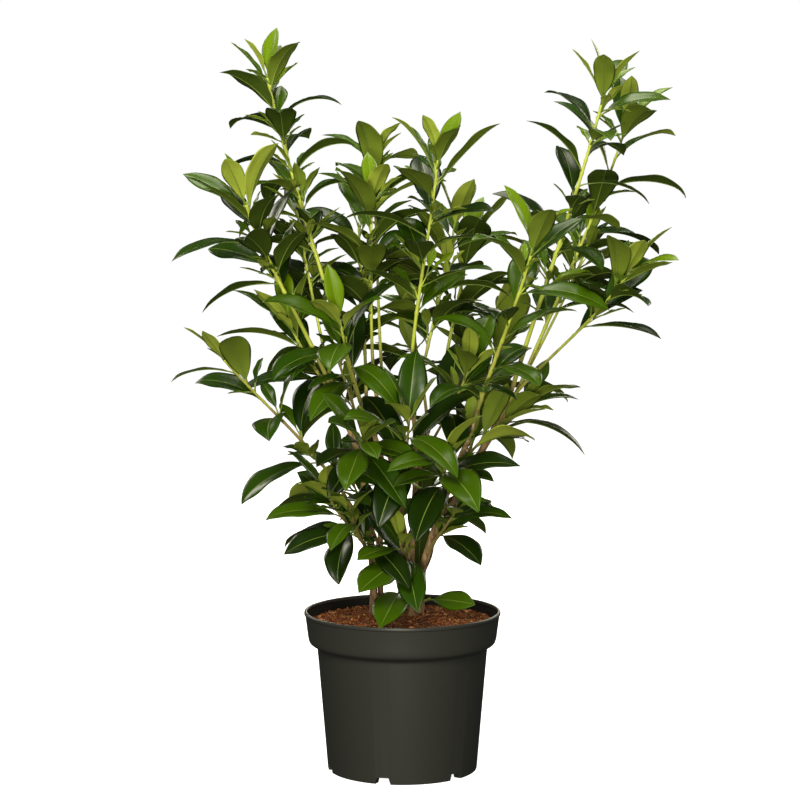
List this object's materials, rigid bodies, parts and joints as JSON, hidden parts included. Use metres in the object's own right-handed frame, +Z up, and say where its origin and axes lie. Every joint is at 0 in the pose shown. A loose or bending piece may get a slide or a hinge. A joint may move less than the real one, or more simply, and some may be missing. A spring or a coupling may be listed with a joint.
{
  "type": "potted cherry laurel",
  "caption": "Young many-stemmed evergreen shrub with glossy oval leaves on upright shoots, in a round charcoal nursery pot with a collar, a rolled lip and a notched foot ring.",
  "frame": {"origin": "centre of the pot's flat underside, at the level the pot stands on", "axes": "+Z up along the pot's axis, -Y towards the front of the shrub, +X to the right as seen from the front"},
  "size_m": [0.7297, 0.5502, 1.0557],
  "materials": {
    "pot_plastic": "moulded charcoal plastic with a soft sheen",
    "compost": "loose moist red-brown compost with coir fibres",
    "bark": "smooth tan bark, darker at the foot",
    "leaf": "glossy dark green, paler beneath"
  },
  "bodies": {
    "root": {"pot": "pot_plastic", "soil": "compost", "stem_left": "bark", "stem_left_back": "bark", "stem_centre": "bark", "stem_centre_back": "bark", "stem_right": "bark", "stem_right_back": "bark", "bough_left": "bark", "bough_left_inner": "bark", "bough_left_tall": "bark", "bough_centre": "bark", "bough_centre_right": "bark", "bough_back_right": "bark", "bough_front_right": "bark", "bough_right": "bark", "bough_right_back": "bark", "foliage_tall_left": "leaf", "foliage_upper_left": "leaf", "foliage_side_left": "leaf", "foliage_centre": "leaf", "foliage_centre_left": "leaf", "foliage_centre_back": "leaf", "foliage_centre_right": "leaf", "foliage_back_right": "leaf", "foliage_mid_right": "leaf", "foliage_front_right": "leaf", "foliage_tall_right": "leaf", "foliage_tall_right_back": "leaf", "foliage_side_right": "leaf", "foliage_front_centre": "leaf", "foliage_front_mid": "leaf", "foliage_low_left": "leaf", "foliage_low_front_left": "leaf", "foliage_low_right": "leaf", "foliage_mid_side_right": "leaf", "foliage_low_front": "leaf", "foliage_foot_front": "leaf", "foliage_foot_low": "leaf", "foliage_foot_right": "leaf", "foliage_mid_front_left": "leaf", "foliage_mid_front_right": "leaf", "foliage_front_left": "leaf", "foliage_outer_left": "leaf", "foliage_back_left": "leaf", "foliage_back_centre": "leaf", "foliage_back_right_low": "leaf", "foliage_low_back_left": "leaf", "foliage_low_back_right": "leaf", "foliage_low_side_right": "leaf", "foliage_inner_left": "leaf", "foliage_inner_right": "leaf"}
  },
  "joints": []
}
